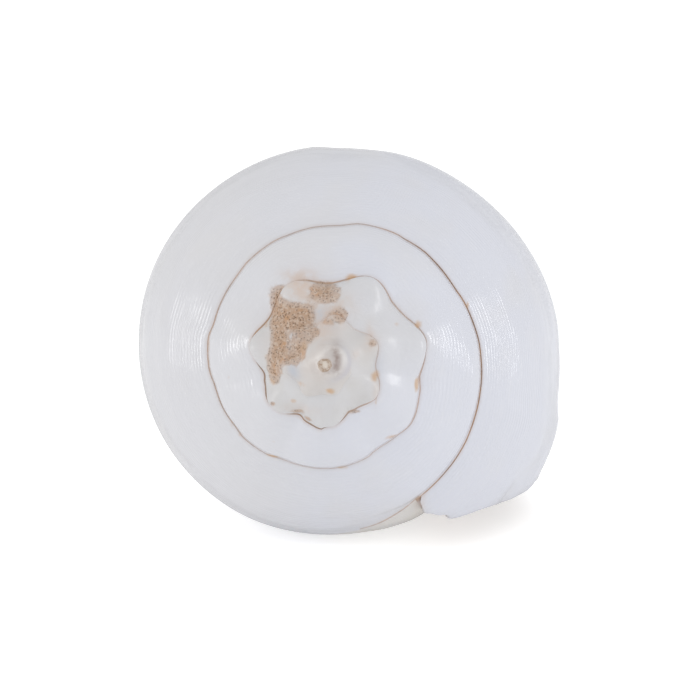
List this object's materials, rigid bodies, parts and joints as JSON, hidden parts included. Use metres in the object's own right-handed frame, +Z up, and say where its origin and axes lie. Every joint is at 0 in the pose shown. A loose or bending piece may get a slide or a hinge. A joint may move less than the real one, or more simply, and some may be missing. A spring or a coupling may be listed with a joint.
{
  "type": "conch shell",
  "caption": "White spiral sea shell with a knobbed spire, smooth swelling last whorl, long open mouth with a folded pillar, and a tapering canal; lies on its mouth.",
  "frame": {"origin": "middle of the shell's bounding box, on the table that it lies on", "axes": "+Z up; the spire points towards -Y and a little up, the canal towards +Y, and the mouth is underneath with its lip on the +X side"},
  "size_m": [0.0918, 0.1514, 0.0803],
  "materials": {
    "shell": "smooth white shell, like unglazed porcelain, with brown specks along the seams and a pitted tan stain on the spire"
  },
  "bodies": {
    "root": {"conch_shell": "shell"}
  },
  "joints": []
}
